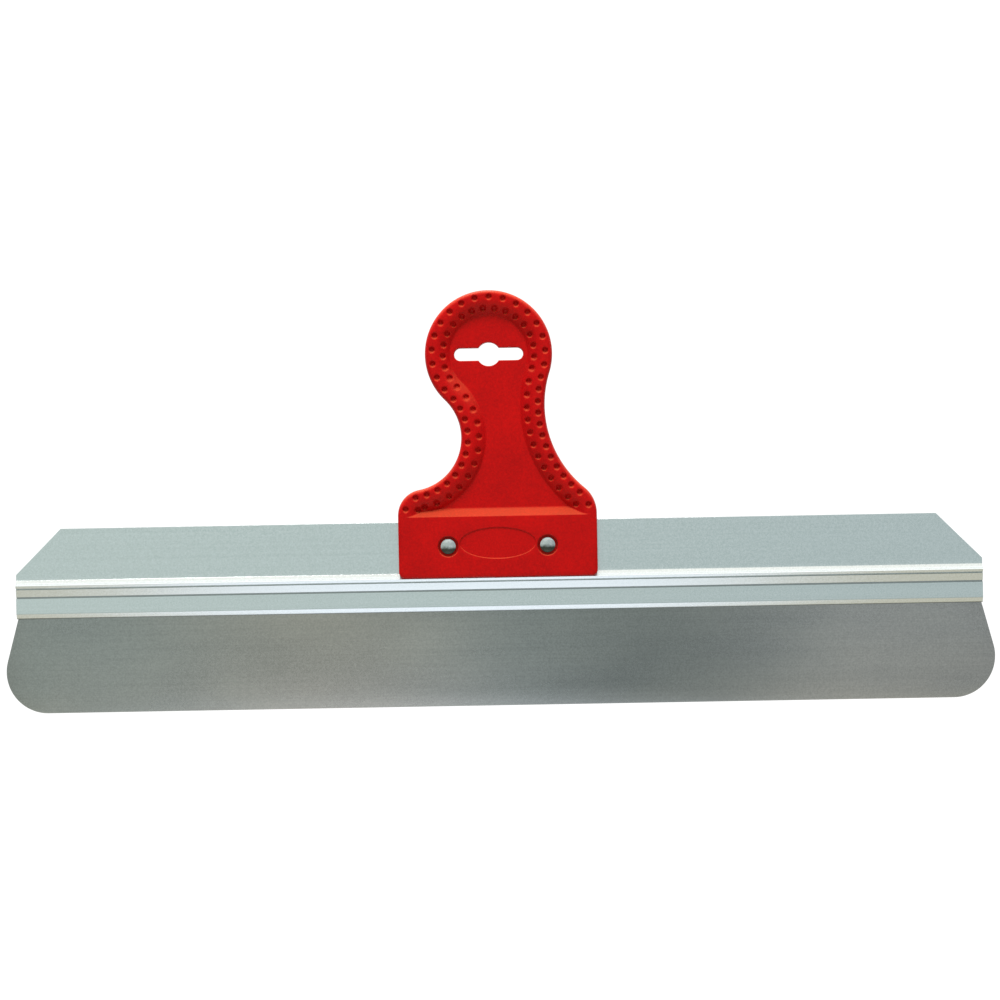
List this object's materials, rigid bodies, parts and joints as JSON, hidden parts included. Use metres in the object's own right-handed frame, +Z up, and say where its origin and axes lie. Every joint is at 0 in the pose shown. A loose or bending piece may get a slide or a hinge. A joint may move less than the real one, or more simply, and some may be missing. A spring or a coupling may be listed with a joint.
{
  "type": "wide filling knife",
  "caption": "Wide filling knife: thin flexible steel blade with rounded corners in an aluminium rail, with a waisted red plastic handle riveted on.",
  "frame": {"origin": "middle of the blade's working edge, in the mid-plane of the sheet", "axes": "+X along the blade to the viewer's right, +Z up from the working edge to the handle, and -Y the front with the badge"},
  "size_m": [0.5, 0.017, 0.2095],
  "materials": {
    "blade": "cold-rolled stainless sheet, satin, with a ground working edge",
    "rail": "extruded, clear matt anodised",
    "handle": "moulded polypropylene with a fine spark-eroded grain",
    "rivet": "polished steel",
    "washer": "plain zinc-plated steel"
  },
  "bodies": {
    "root": {"blade": "blade", "rail": "rail", "handle": "handle", "rivet_left": "rivet", "rivet_right": "rivet", "rivet_washer_left": "washer", "rivet_washer_right": "washer"}
  },
  "joints": []
}
